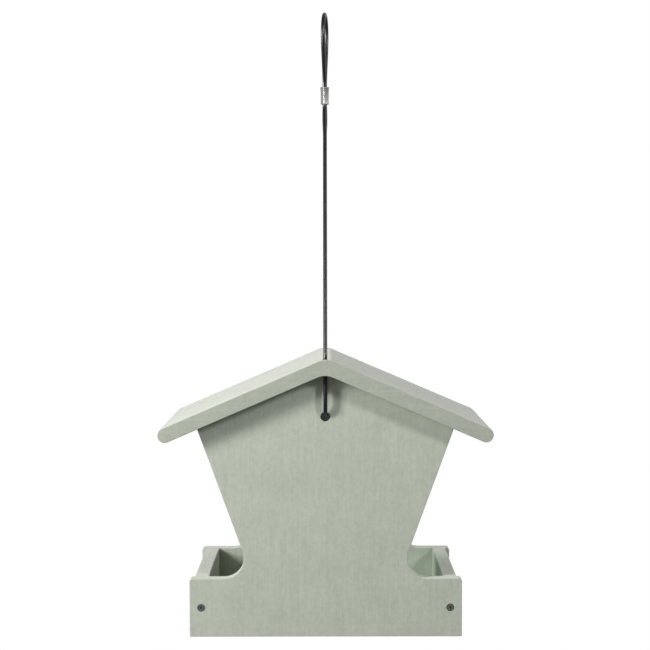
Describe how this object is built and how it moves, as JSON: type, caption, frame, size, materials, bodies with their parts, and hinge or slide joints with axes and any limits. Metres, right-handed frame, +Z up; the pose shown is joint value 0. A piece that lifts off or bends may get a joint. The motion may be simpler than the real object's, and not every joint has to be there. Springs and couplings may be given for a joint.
{
  "type": "hopper bird feeder",
  "caption": "House-shaped hanging hopper feeder: bent chevron roof on two notched gable boards, clear windows, open seed trays on both long sides, coated cable with a crimped hanging loop.",
  "frame": {"origin": "where a hook bears on the inside of the hanging loop, at its top; the feeder's body is centred under it", "axes": "+X to the right across the front gable, +Y from the front gable to the rear one, +Z up"},
  "size_m": [0.3414, 0.23, 0.6511],
  "materials": {
    "composite_board": "matt sage composite board with a fine upright grain",
    "clear_acrylic": "clear, polished, with sawn edges",
    "cable_sheath": "smooth black coating over steel cable, soft sheen",
    "ferrule_aluminium": "crimped, satin",
    "washer_steel": "zinc plated",
    "screw_steel": "dark coated"
  },
  "bodies": {
    "feeder_body": {"front_gable": "composite_board", "rear_gable": "composite_board", "left_tray_rail": "composite_board", "right_tray_rail": "composite_board", "floor_board": "composite_board", "rail_screw_front_left": "screw_steel", "rail_screw_front_right": "screw_steel", "rail_screw_rear_left": "screw_steel", "rail_screw_rear_right": "screw_steel", "cable_front_lower_leg": "cable_sheath", "cable_front_upper_leg": "cable_sheath", "cable_rear_lower_leg": "cable_sheath", "cable_rear_upper_leg": "cable_sheath", "hanging_loop": "cable_sheath", "ferrule": "ferrule_aluminium", "cable_stop_front": "ferrule_aluminium", "cable_stop_rear": "ferrule_aluminium", "stop_washer_front": "washer_steel", "stop_washer_rear": "washer_steel"},
    "roof": {"roof": "composite_board"},
    "left_window": {"left_window": "clear_acrylic"},
    "right_window": {"right_window": "clear_acrylic"}
  },
  "joints": [
    {"name": "roof_lift", "type": "slide", "parent": "feeder_body", "child": "roof", "axis": [0, 0, 1], "range_m": [0, 0.1], "deforming": ["cable_front_upper_leg", "cable_rear_upper_leg"]},
    {"name": "left_window_lift", "type": "slide", "parent": "feeder_body", "child": "left_window", "axis": [-0.3437, 0, 0.9391], "range_m": [0, 0.004]},
    {"name": "right_window_lift", "type": "slide", "parent": "feeder_body", "child": "right_window", "axis": [0.3437, 0, 0.9391], "range_m": [0, 0.004]}
  ]
}
